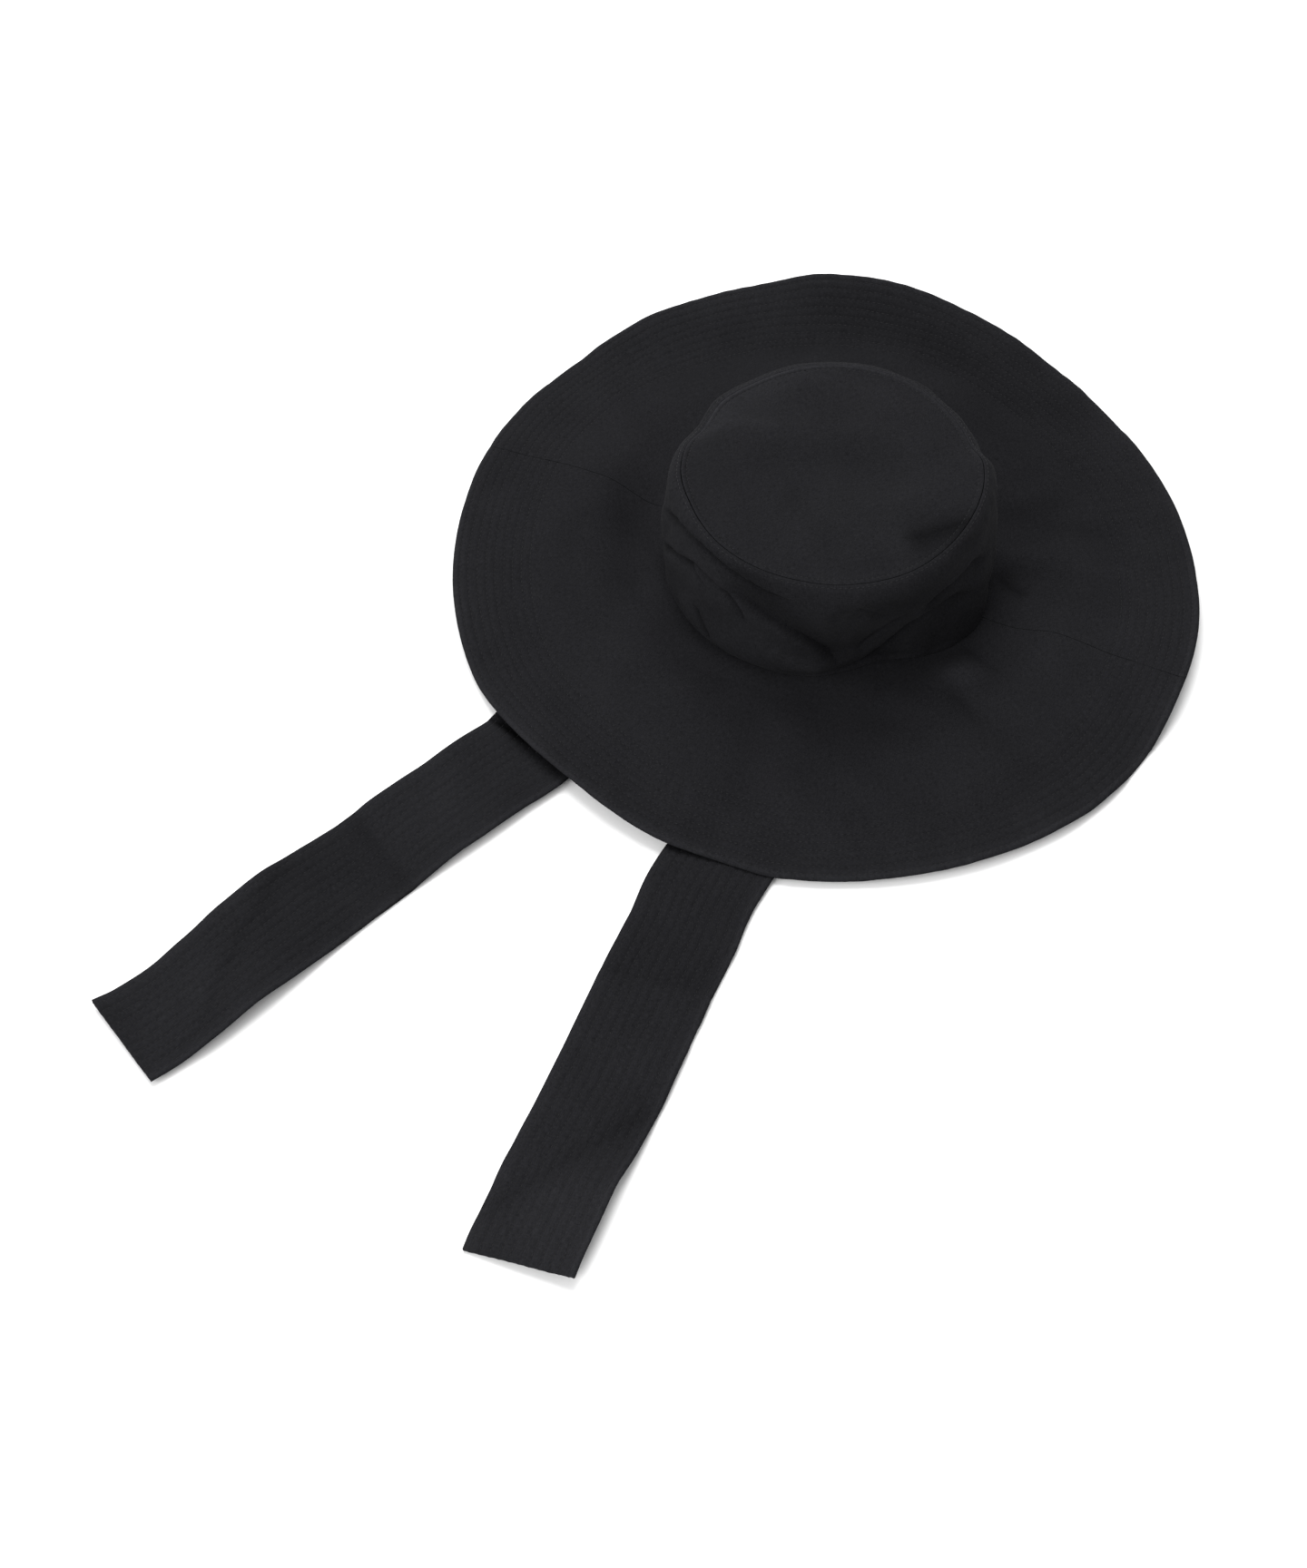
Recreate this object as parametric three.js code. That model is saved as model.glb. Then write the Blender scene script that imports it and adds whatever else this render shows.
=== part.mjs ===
// A wide-brimmed cloth sun hat that rests crown up on its brim, with two wide ties drawn out
// from under the brim across the surface. Millimetres, +Z up, front of the hat towards -Y,
// origin on the crown's axis at the level that the hat rests on.
// Every piece is one closed cloth wall, laid to both sides of a middle surface.

import * as THREE from "three";

// Driving dimensions
const CLOTH = 2; // thickness of every wall: two layers of cloth
const GAP = 0.3; // clearance kept between neighbouring pieces

const HEAD = { foreAft: 92, side: 89 }; // half-axes of the oval head seam
const TOP = { foreAft: 86, side: 83, x: 2, y: -8 }; // half-axes and middle of the crown's top
const SHOULDER = { out: 6, drop: 9, rise: 0.86 }; // the side's roll just outside the top's seam
const SIDE_SWELL = 2.5; // how far the side swells between the head seam and the shoulder
const SIDE_HEIGHT = 90; // length of cloth from the head seam to the top's seam

const SEAM_MARGIN = 3; // the brim reaches this far in under the crown's wall
const SEAM_SHELF = 2; // and is level this far out from the head seam
const DIP_REACH = 18; // distance from the head seam to the ring where the brim dips
const CREST_REACH = 141; // radius of the ring where it rises again
const BAND = 44; // width of the stitched band along the brim's edge

const TIE_WIDTH = 60;

const SEAM_RIGHT = 0; // angles of the brim's two side seams
const SEAM_LEFT = 180;

// Steps of each wall's grid
const BRIM_RINGS = 12;
const BRIM_HALF_STEPS = 44;
const CROWN_STEPS = 64;
const SIDE_RINGS = 14;
const TOP_RINGS = 6;
const TIE_STEPS = { along: 36, across: 4 };

// Rows become objects with the named columns.
function table(columns, rows) {
  const names = columns.split(" ");
  return rows.map((row) => Object.fromEntries(names.map((name, i) => [name, row[i]])));
}

// The brim round the hat: angles in degrees from +X towards +Y, how far the head seam is pushed
// out of its oval, heights of the middle surface at the head seam (foot), in the dip, on the
// crest, at the inner side of the stitched band (band) and at the edge, and the edge's distance
// from the axis (reach).
const BRIM = table("angle push foot dip crest band edge reach", [
  [9, 5, 5, 5, 11, 9, 9, 214],
  [24, 3, 6, 6, 10, 6, 5, 210],
  [41, 1, 7, 7, 9, 5, 4, 207],
  [56, 0, 9, 8, 8, 4, 1, 206],
  [72, 0, 10, 8, 7, 2, 2, 209],
  [86, 0, 10, 8, 7, 2, 7, 214],
  [99, 0, 10, 8, 7, 2, 15, 216],
  [112, 0, 10, 8, 8, 2, 18, 217],
  [126, 0, 9, 8, 8, 2, 11, 217],
  [142, 0, 9, 7, 9, 4, 9, 216],
  [157, 0, 8, 7, 10, 7, 1, 216],
  [171, 1, 8, 6, 13, 9, 3, 216],
  [182, 1, 7, 5, 16, 13, 8, 214],
  [196, 2, 7, 5, 13, 12, 7, 214],
  [211, 3, 8, 6, 11, 10, 7, 215],
  [227, 1, 9, 8, 9, 6, 4, 216],
  [242, 0, 11, 9, 9, 7, 10, 215],
  [256, -2, 12, 9, 9, 4, 10, 216],
  [271, -3, 12, 10, 9, 5, 7, 220],
  [286, -4, 12, 10, 9, 7, 6, 222],
  [300, -8, 11, 10, 9, 7, 9, 222],
  [313, -10, 10, 10, 10, 8, 7, 222],
  [330, -2, 7, 9, 12, 10, 5, 222],
  [345, 5, 5, 5, 12, 7, 1, 219],
  [358, 8, 4, 4, 12, 10, 11, 216],
]);

// The seam of the crown's top: angles about the top's middle, heights, and how far the seam is
// pushed out of its oval.
const RIM = table("angle height push", [
  [9, 101, 1],
  [24, 100, 0],
  [39, 93, -4],
  [54, 90, -3],
  [72, 88, -1],
  [95, 88, 0],
  [120, 88, 0],
  [144, 88, -1],
  [159, 88, 0],
  [174, 85, -2],
  [189, 91, 0],
  [204, 97, 0],
  [225, 101, -1],
  [250, 102, 0],
  [275, 102, 0],
  [300, 100, 0],
  [325, 99, 1],
  [345, 100, 1],
]);

// Soft swells and hollows: their middle, half-lengths along and across, the turn of the long way
// from +X in degrees, and the height that they add.
const TOP_FORMS = table("x y along across turn lift", [
  [-8, 16, 75, 15, 21, 4],
  [36, -24, 60, 14, 45, 2],
  [-15, -18, 45, 28, 15, -3],
]);
const BRIM_FORMS = table("x y along across turn lift", [
  [98, -46, 15, 10, 60, 4],
  [112, -64, 22, 8, -35, -3],
  [118, 37, 40, 10, 17, -2.5],
  [118, 57, 45, 9, 26, 2],
  [100, 82, 38, 12, 39, -3],
  [-30, -157, 40, 22, 259, 1.5],
  [16, -162, 40, 14, 276, -2],
]);

// Folds in the crown's side: angle and rise (0 at the head seam, 1 at the top's seam) of both
// ends, the bow of the line to its left, its depth and half-width, and the swell on its left.
const FOLDS = table("fromAngle fromRise toAngle toRise bow depth width swell", [
  [206, 0.6, 290, 0.6, 24, 4, 7, 1.5],
  [208, 0.26, 268, 0.4, 30, 3, 6, 1],
  [252, 0.74, 297, 0.2, 7, 5, 8, 1.5],
  [236, 0.35, 252, 0.1, 0, 1.5, 6, 0],
  [304, 0.24, 356, 0.36, 13, 5, 8, 0],
  [327, 0.66, 368, 0.5, 8, 4, 8, 1],
  [305, 0.35, 322, 0.68, 0, 2, 6, 0],
]);

const { euclideanModulo, lerp, smoothstep } = THREE.MathUtils;
const RAD = Math.PI / 180;
const UP = new THREE.Vector3(0, 0, 1);

// A cubic between two values that leaves and arrives with the given slopes.
function cubic(t, length, from, to, slopeFrom, slopeTo) {
  const t2 = t * t;
  const t3 = t2 * t;
  return (
    (2 * t3 - 3 * t2 + 1) * from +
    (t3 - 2 * t2 + t) * length * slopeFrom +
    (3 * t2 - 2 * t3) * to +
    (t3 - t2) * length * slopeTo
  );
}

// A smooth curve through points given as [place, value] pairs, with no value outside theirs:
// it is level at each high and low.
function through(points) {
  const last = points.length - 1;
  const rise = (i) => (points[i + 1][1] - points[i][1]) / (points[i + 1][0] - points[i][0]);
  const slopeAt = (i) => {
    if (i === 0) return rise(0);
    if (i === last) return rise(last - 1);
    const [before, after] = [rise(i - 1), rise(i)];
    return before * after > 0 ? (2 * before * after) / (before + after) : 0;
  };
  const slopes = points.map((_, i) => slopeAt(i));
  return (place) => {
    let i = 0;
    while (i < last - 1 && points[i + 1][0] <= place) i++;
    const [from, to] = [points[i], points[i + 1]];
    const length = to[0] - from[0];
    return cubic((place - from[0]) / length, length, from[1], to[1], slopes[i], slopes[i + 1]);
  };
}

// One column of a table round the hat as a smooth function of the angle.
function around(rows, column) {
  const turns = [-360, 0, 360];
  const curve = through(
    turns.flatMap((turn) => rows.map((row) => [row.angle + turn, row[column]])),
  );
  return (angle) => curve(euclideanModulo(angle, 360));
}

function ovalRadius(oval, angle) {
  const across = oval.foreAft * Math.cos(angle * RAD);
  const along = oval.side * Math.sin(angle * RAD);
  return (oval.foreAft * oval.side) / Math.hypot(across, along);
}

function polar(angle, radius, height = 0) {
  return new THREE.Vector3(radius * Math.cos(angle * RAD), radius * Math.sin(angle * RAD), height);
}

// The height that a table of soft swells and hollows adds at a point.
function formsAt(forms, x, y) {
  return forms.reduce((sum, form) => {
    const [dx, dy] = [x - form.x, y - form.y];
    const [c, s] = [Math.cos(form.turn * RAD), Math.sin(form.turn * RAD)];
    const along = (dx * c + dy * s) / form.along;
    const across = (dy * c - dx * s) / form.across;
    return sum + form.lift * Math.exp(-(along ** 2) - across ** 2);
  }, 0);
}

// Brim
const brim = Object.fromEntries(
  Object.keys(BRIM[0]).map((column) => [column, around(BRIM, column)]),
);

function headSeamRadius(angle) {
  return ovalRadius(HEAD, angle) + brim.push(angle);
}

// A point of the brim's middle surface: run goes from 0 at the inner margin to 1 at the edge, and
// its first step is the level shelf that carries the crown. No point lies lower than cloth does
// on the surface that the hat rests on.
function brimAt(angle, run) {
  const seam = headSeamRadius(angle);
  const [foot, band, edge, reach] = ["foot", "band", "edge", "reach"].map((n) => brim[n](angle));
  const bandReach = reach - Math.sqrt(BAND ** 2 - (edge - band) ** 2);
  const profile = through([
    [seam - SEAM_MARGIN, foot],
    [seam + SEAM_SHELF, foot],
    [seam + DIP_REACH, brim.dip(angle)],
    [CREST_REACH, brim.crest(angle)],
    [bandReach, band],
    [reach, edge],
  ]);
  const radius = through([
    [0, seam - SEAM_MARGIN],
    [1 / BRIM_RINGS, seam + SEAM_SHELF],
    [2 / BRIM_RINGS, seam + DIP_REACH / 2],
    [1, reach],
  ])(run);
  const point = polar(angle, radius, profile(radius));
  const free = smoothstep(radius, seam + SEAM_SHELF, seam + DIP_REACH / 2);
  point.z += free * formsAt(BRIM_FORMS, point.x, point.y);
  point.z = Math.max(point.z, CLOTH / 2);
  return point;
}

// One half of the brim, from one side seam to the other, with half the gap left at each seam.
function brimHalf(fromAngle, toAngle) {
  const at = (u, v) => {
    const radius = brimAt(fromAngle, v).length();
    const inset = GAP / 2 / radius / RAD;
    return brimAt(lerp(fromAngle + inset, toAngle - inset, u), v);
  };
  return clothWall(at, { across: BRIM_HALF_STEPS, along: BRIM_RINGS });
}

// Crown
const rimHeight = around(RIM, "height");
const rimPush = around(RIM, "push");
const topMiddle = new THREE.Vector3(TOP.x, TOP.y, 0);

// The top's seam, a little in or out of its line.
function rimAt(angle, out) {
  const radius = ovalRadius(TOP, angle) + rimPush(angle) + out;
  return polar(angle, radius, rimHeight(angle)).add(topMiddle);
}

const FOLD_ENDS = { before: -0.1, after: 1.1, fade: 0.25 }; // where a fold dies out, in its lengths
const FOLD_SWELL_AT = 2.2; // half-widths from a fold's line to the crest of the swell beside it
const FOLD_SEAM_FADE = 0.1; // rise over which the folds die out at either seam

// How far the folds push the crown's side out at an angle and rise.
function foldsAt(angle, rise) {
  const perDegree = HEAD.side * RAD;
  const free = smoothstep(rise, 0, FOLD_SEAM_FADE) * smoothstep(1 - rise, 0, FOLD_SEAM_FADE);
  return FOLDS.reduce((sum, fold) => {
    const turned = euclideanModulo(angle - fold.fromAngle + 90, 360) - 90;
    const chord = new THREE.Vector2(
      (fold.toAngle - fold.fromAngle) * perDegree,
      (fold.toRise - fold.fromRise) * SIDE_HEIGHT,
    );
    const here = new THREE.Vector2(turned * perDegree, (rise - fold.fromRise) * SIDE_HEIGHT);
    const t = here.dot(chord) / chord.lengthSq();
    const { before, after, fade } = FOLD_ENDS;
    const ends = smoothstep(t, before, before + fade) * (1 - smoothstep(t, after - fade, after));
    const off = chord.cross(here) / chord.length() - fold.bow * 4 * t * (1 - t);
    const valley = Math.exp(-((off / fold.width) ** 2));
    const swell = Math.exp(-((off / fold.width - FOLD_SWELL_AT) ** 2));
    return sum + free * ends * (fold.swell * swell - fold.depth * valley);
  }, 0);
}

// A point of the side's middle surface: rise goes from 0 at the head seam to 1 at the top's seam.
// It starts upright, leans out to the shoulder and rolls over it.
function sideAt(angle, rise) {
  const foot = polar(angle, headSeamRadius(angle), brim.foot(angle) + CLOTH / 2 + GAP);
  const rim = rimAt(angle, GAP / 2);
  const outwards = polar(angle, 1);
  const folds = foldsAt(angle, rise);
  if (rise > SHOULDER.rise) {
    const turn = ((rise - SHOULDER.rise) / (1 - SHOULDER.rise)) * (Math.PI / 2);
    return rim
      .addScaledVector(outwards, SHOULDER.out * Math.cos(turn) + folds)
      .addScaledVector(UP, SHOULDER.drop * (Math.sin(turn) - 1));
  }
  const shoulder = rim.addScaledVector(outwards, SHOULDER.out).addScaledVector(UP, -SHOULDER.drop);
  const t = rise / SHOULDER.rise;
  const lean = cubic(t, 1, 0, 1, 0, 1);
  const point = foot.clone().lerp(shoulder, lean);
  point.z = lerp(foot.z, shoulder.z, t);
  return point.addScaledVector(outwards, SIDE_SWELL * Math.sin(Math.PI * t) ** 2 + folds);
}

function crownSide() {
  const at = (u, v) => sideAt(360 * u, v);
  return clothWall(at, { across: CROWN_STEPS, along: SIDE_RINGS, closed: true });
}

// The heights of the top's seam as waves round the rim, so that the cloth inside can span them
// as a stretched film does: a wave with more crests fades faster towards the middle.
const RIM_WAVES = 9;
const RIM_STEPS = 72;
const TOP_EDGE_HOLD = 6; // the forms of the top stay away from its seam: a higher power, closer to it
const rimWaves = Array.from({ length: RIM_WAVES }, (_, k) => {
  let [c, s] = [0, 0];
  for (let i = 0; i < RIM_STEPS; i++) {
    const angle = (360 * i) / RIM_STEPS;
    const share = (k ? 2 : 1) / RIM_STEPS;
    c += share * rimHeight(angle) * Math.cos(k * angle * RAD);
    s += share * rimHeight(angle) * Math.sin(k * angle * RAD);
  }
  return { c, s };
});

function rimWavesAt(angle, out) {
  const turn = angle * RAD;
  return rimWaves.reduce(
    (sum, { c, s }, k) => sum + out ** k * (c * Math.cos(k * turn) + s * Math.sin(k * turn)),
    0,
  );
}

// A point of the top's middle surface: out goes from 0 at its middle to 1 at its seam.
function topAt(angle, out) {
  const point = rimAt(angle, -GAP).sub(topMiddle).multiplyScalar(out).add(topMiddle);
  const finer = rimHeight(angle) - rimWavesAt(angle, 1);
  point.z = rimWavesAt(angle, out) + out ** RIM_WAVES * finer;
  point.z += (1 - out ** TOP_EDGE_HOLD) * formsAt(TOP_FORMS, point.x, point.y);
  return point;
}

function crownTip() {
  const at = (u, v) => topAt(360 * u, 1 - v);
  return clothWall(at, { across: CROWN_STEPS, along: TOP_RINGS, closed: true, pole: true });
}

// Ties: the middle of each tie's route from its sewn end to its hem, how high its left and right
// edges lie above the surface, seen along the route, and how much of its full width it has.
const TIE_LEFT = table("x y left right share", [
  [-97, 36, 3.2, 3.2, 0.45],
  [-100, 10, 2, 2, 0.65],
  [-102, -25, 0.5, 0.5, 0.9],
  [-101, -65, 0, 0, 1],
  [-98, -105, 0, 0, 1],
  [-95, -145, 0.5, 0, 1],
  [-101, -186, 2, 1, 1],
  [-113, -212, 3, 2, 1],
  [-124, -236, 4, 1, 1],
  [-136, -261, 3, 1, 1],
  [-147, -287, 0, 0, 1],
  [-158, -313, 0, 4, 1],
  [-168, -338, 1, 9, 1],
  [-178, -364, 4, 8, 1],
  [-188, -389, 7, 3, 1],
  [-198, -415, 6, 0, 1],
  [-208, -435, 2, 1, 1],
  [-215, -447, 2, 3, 1],
]);
const TIE_RIGHT = table("x y left right share", [
  [97, 4, 0.7, 0.7, 0.45],
  [99, -28, 0.5, 0.5, 0.65],
  [94, -66, 0, 0, 0.9],
  [79, -103, 0, 0, 1],
  [57, -138, 0, 0, 1],
  [37, -172, 0, 0, 1],
  [26, -208, 1, 2, 1],
  [24, -240, 0, 4, 1],
  [26, -269, 0, 5, 1],
  [26, -295, 0, 5, 1],
  [27, -320, 0, 5, 1],
  [28, -346, 1, 5, 1],
  [29, -371, 1, 5, 1],
  [29, -396, 3, 3, 1],
  [28, -422, 6, 0, 1],
  [29, -447, 7, 0, 1],
  [30, -470, 7, 0, 1],
  [31, -482, 7, 0, 1],
]);

function tie(route) {
  const lengths = [0];
  route.slice(1).forEach((row, i) => {
    lengths.push(lengths[i] + Math.hypot(row.x - route[i].x, row.y - route[i].y));
  });
  const total = lengths.at(-1);
  const column = (name) => through(route.map((row, i) => [lengths[i], row[name]]));
  const [x, y, left, right, share] = ["x", "y", "left", "right", "share"].map(column);
  const tieAt = (place, side) => {
    const step = 1;
    const ahead = new THREE.Vector2(
      x(place + step) - x(place - step),
      y(place + step) - y(place - step),
    ).normalize();
    const half = (side * TIE_WIDTH * share(place)) / 2;
    return new THREE.Vector3(
      x(place) + ahead.y * half,
      y(place) - ahead.x * half,
      CLOTH / 2 + lerp(left(place), right(place), (side + 1) / 2),
    );
  };
  const at = (u, v) => tieAt(total * u, 1 - 2 * v);
  return clothWall(at, { across: TIE_STEPS.along, along: TIE_STEPS.across });
}

// A closed wall on both sides of the middle surface at(u, v), with u and v from 0 to 1. A closed
// one joins its u ends, and one with a pole shrinks to a point at v = 1.
function clothWall(at, { across, along, closed = false, pole = false }) {
  const columns = closed ? across : across + 1;
  const rings = along + 1;
  const small = 1e-4;
  const positions = [];
  for (const side of [1, -1]) {
    for (let i = 0; i < columns; i++) {
      for (let j = 0; j < rings; j++) {
        const [u, v] = [i / across, j / along];
        const acrossWay = at(u + small, v).sub(at(u - small, v));
        const alongWay = at(u, v + small).sub(at(u, v - small));
        const normal = pole && j === along ? UP.clone() : acrossWay.cross(alongWay).normalize();
        positions.push(...at(u, v).addScaledVector(normal, (side * CLOTH) / 2));
      }
    }
  }

  const corner = (side, i, j) => {
    const column = pole && j === along ? 0 : i % columns;
    return (side * columns + column) * rings + j;
  };
  const indices = [];
  const quad = (...corners) => {
    for (const three of [[0, 1, 2], [0, 2, 3]]) {
      const triangle = three.map((k) => corners[k]);
      if (new Set(triangle).size === 3) indices.push(...triangle);
    }
  };
  for (let i = 0; i < across; i++) {
    for (let j = 0; j < along; j++) {
      quad(corner(0, i, j), corner(0, i + 1, j), corner(0, i + 1, j + 1), corner(0, i, j + 1));
      quad(corner(1, i, j), corner(1, i, j + 1), corner(1, i + 1, j + 1), corner(1, i + 1, j));
    }
    quad(corner(1, i, 0), corner(1, i + 1, 0), corner(0, i + 1, 0), corner(0, i, 0));
    if (pole) continue;
    quad(corner(0, i, along), corner(0, i + 1, along), corner(1, i + 1, along), corner(1, i, along));
  }
  for (let j = 0; j < along && !closed; j++) {
    quad(corner(0, 0, j), corner(0, 0, j + 1), corner(1, 0, j + 1), corner(1, 0, j));
    quad(corner(1, across, j), corner(1, across, j + 1), corner(0, across, j + 1), corner(0, across, j));
  }

  const geometry = new THREE.BufferGeometry();
  geometry.setAttribute("position", new THREE.Float32BufferAttribute(positions, 3));
  geometry.setIndex(indices);
  geometry.computeVertexNormals();
  return geometry;
}

const hat = new THREE.Group();
const pieces = {
  crown_tip: crownTip(),
  crown_side: crownSide(),
  brim_front: brimHalf(SEAM_LEFT, SEAM_RIGHT + 360),
  brim_back: brimHalf(SEAM_RIGHT, SEAM_LEFT),
  tie_left: tie(TIE_LEFT),
  tie_right: tie(TIE_RIGHT),
};
for (const [name, geometry] of Object.entries(pieces)) {
  const cloth = new THREE.MeshStandardMaterial({ color: 0x1f2024, roughness: 0.9, metalness: 0 });
  const piece = new THREE.Mesh(geometry, cloth);
  piece.name = name;
  hat.add(piece);
}

export default hat;
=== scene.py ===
"""A black wide-brimmed cloth sun hat that rests on a pale floor with its two ties drawn out."""

import math

import bpy
import numpy as np
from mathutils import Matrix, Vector


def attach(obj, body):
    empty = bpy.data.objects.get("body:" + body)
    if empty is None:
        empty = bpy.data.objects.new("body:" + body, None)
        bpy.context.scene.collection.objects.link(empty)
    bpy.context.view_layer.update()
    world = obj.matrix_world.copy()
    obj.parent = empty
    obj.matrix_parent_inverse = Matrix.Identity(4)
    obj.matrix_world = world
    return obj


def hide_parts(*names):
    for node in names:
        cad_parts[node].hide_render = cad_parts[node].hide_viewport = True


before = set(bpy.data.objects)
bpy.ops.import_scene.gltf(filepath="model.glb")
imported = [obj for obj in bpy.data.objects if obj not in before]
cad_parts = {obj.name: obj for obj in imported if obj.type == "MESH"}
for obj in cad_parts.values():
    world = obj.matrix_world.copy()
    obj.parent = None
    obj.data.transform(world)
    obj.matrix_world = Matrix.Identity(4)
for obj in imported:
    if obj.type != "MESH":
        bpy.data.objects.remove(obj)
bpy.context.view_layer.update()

MM = 0.001

# Lengths are in millimetres up to the point where a mesh is made.
CLOTH = 2.0  # thickness of every wall: two layers of cloth
GAP = 0.3  # clearance kept between neighbouring pieces

HEAD = (92, 89)  # half-axes of the oval head seam, fore and aft and to the sides
TOP = (86, 83)  # half-axes of the crown's top, likewise
TOP_MIDDLE = (2, -8)  # where the top has its middle
SHOULDER_OUT, SHOULDER_DROP, SHOULDER_RISE = 6, 9, 0.86  # the side's roll outside the top's seam
SIDE_SWELL = 2.5  # how far the side swells between the head seam and the shoulder
SIDE_HEIGHT = 90  # length of cloth from the head seam to the top's seam

SEAM_MARGIN = 3  # the brim reaches this far in under the crown's wall
SEAM_SHELF = 2  # and is level this far out from the head seam
DIP_REACH = 18  # distance from the head seam to the ring where the brim dips
CREST_REACH = 141  # radius of the ring where it rises again
USUAL_REACH = 215  # radius of the brim's edge, about
BAND = 44  # width of the stitched band along the brim's edge
TIE_WIDTH = 60
SEAM_RIGHT, SEAM_LEFT = 0, 180  # angles of the brim's two side seams
AT_BACK = 90  # the angle of the hat's back

# Stitching: the rows' distances from the brim's edge, and from a tie's middle line
BRIM_ROWS = BAND * np.array([0.075, 0.19, 0.31, 0.425, 0.54, 0.655, 0.77, 0.885, 1.0])
TIE_ROWS = np.linspace(-26.6, 26.6, 11)
ROW_DEPTH, ROW_WIDTH = 0.3, 0.75  # how deep a row of stitches pulls the cloth in, and how widely
PUFF, PUFF_FADE = 0.1, 1  # how high the cloth swells between rows, and how far outside the last
STITCH = {"pitch": 3.1, "length": 2.5, "width": 0.5, "height": 0.3, "lift": 0.03}
SEAM_ROW = 2.4  # distance of the stitching from the seam of the crown's top

# Rolls and dents, each as a height, a distance from the edge or seam, and a width
HEM_ROLL = (0.5, 1.6, 1.3)
HEM_EDGE_FALL = (0.7, 0, 0.8)
TIE_ROLL_SHARE = 0.7  # a tie's hems roll less
SEAM_ROLL = (0.4, 1.1, 0.9)
SEAM_DENT = (0.3, SEAM_ROW, 0.6)

# Each piece's broad and fine unevenness: seed, height and wavelength
BRIM_UNEVEN = [(11, 0.45, 42), (12, 0.16, 9)]
SIDE_UNEVEN = [(3, 0.5, 30), (4, 0.15, 9)]
TOP_UNEVEN = [(21, 0.4, 34), (22, 0.08, 9)]
TIE_LEFT_UNEVEN = [(31, 0.25, 30), (32, 0.1, 7)]
TIE_RIGHT_UNEVEN = [(41, 0.25, 30), (42, 0.1, 7)]
LONG_PUCKERS = 3  # puckers are so many times longer towards the brim's edge, and along a tie
PUCKERS_BEGIN, PUCKERS_FULL = BAND + 3, BAND - 6  # distances from the brim's edge
PUCKER_REACH = 200  # radius where the brim's puckers are as long as their wavelength


def table(columns, rows):
    """The columns of a table by name."""
    return dict(zip(columns.split(), np.array(rows, float).T))


# The brim round the hat: angles in degrees from +X towards +Y, how far the head seam is pushed
# out of its oval, heights of the middle surface at the head seam (foot), in the dip, on the
# crest, at the inner side of the stitched band (band) and at the edge, and the edge's reach.
BRIM = table("angle push foot dip crest band edge reach", [
    [9, 3.2, 5, 5, 11, 9, 9, 214],
    [24, 2.2, 6, 6, 10, 6, 5, 210],
    [41, 1, 7, 7, 9, 5, 4, 207],
    [56, 0, 9, 8, 8, 4, 1, 206],
    [72, 0, 10, 8, 7, 2, 2, 209],
    [86, 0, 10, 8, 7, 2, 7, 214],
    [99, 0, 10, 8, 7, 2, 15, 216],
    [112, 0, 10, 8, 8, 2, 18, 217],
    [126, 0, 9, 8, 8, 2, 11, 217],
    [142, 0, 9, 7, 9, 4, 9, 216],
    [157, 0, 8, 7, 10, 7, 1, 216],
    [171, 1, 8, 6, 13, 9, 3, 216],
    [182, 1, 7, 5, 16, 13, 8, 214],
    [196, 2, 7, 5, 13, 12, 7, 214],
    [211, 3, 8, 6, 11, 10, 7, 215],
    [227, 1, 9, 8, 9, 6, 4, 216],
    [242, 0, 11, 9, 9, 7, 10, 214.2],
    [250, -1, 11.5, 9, 9, 5.5, 10, 213.2],
    [259, -2.2, 12, 9, 9, 4, 9.5, 215.6],
    [268, -2.8, 12, 10, 9, 5, 7.5, 217.8],
    [276, -3.2, 12, 10, 9, 5.5, 5.5, 216.8],
    [286, -4, 12, 10, 9, 6, 3.5, 219.8],
    [300, -8.6, 11, 10, 9, 6, 4.7, 219.8],
    [313, -11.8, 10, 10, 10, 7, 5.5, 220.8],
    [330, -4.4, 7, 9, 12, 10, 5, 222],
    [345, 2.4, 5, 5, 12, 7, 1, 219],
    [358, 5.3, 4, 4, 12, 10, 11, 216],
])

# The seam of the crown's top: angles about the top's middle, heights, and how far it is pushed
# out of its oval.
RIM = table("angle height push", [
    [9, 101, 1],
    [24, 100, 0],
    [39, 93, -4],
    [54, 90, -3],
    [72, 88, -1],
    [95, 88, 0],
    [120, 88, 0],
    [144, 88, -1],
    [159, 88, 0],
    [174, 85, -2],
    [189, 91, 0],
    [204, 97, 0],
    [225, 101, -1],
    [250, 102, 0],
    [275, 102, 0],
    [300, 100, 0],
    [325, 99, 1],
    [345, 100, 1],
])

# Soft swells and hollows: middle, half-lengths along and across, turn of the long way from +X,
# and the height that they add.
TOP_FORMS = [
    (-8, 16, 75, 15, 21, 4),
    (36, -24, 60, 14, 45, 2),
    (-15, -18, 45, 28, 15, -3),
]
BRIM_FORMS = [
    (98, -46, 15, 10, 60, 4),
    (112, -64, 22, 8, -35, -3),
    (118, 37, 40, 10, 17, -2.5),
    (118, 57, 45, 9, 26, 2),
    (100, 82, 38, 12, 39, -3),
    (-30, -157, 40, 22, 259, 1.5),
    (16, -162, 40, 14, 276, -2),
]

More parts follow.
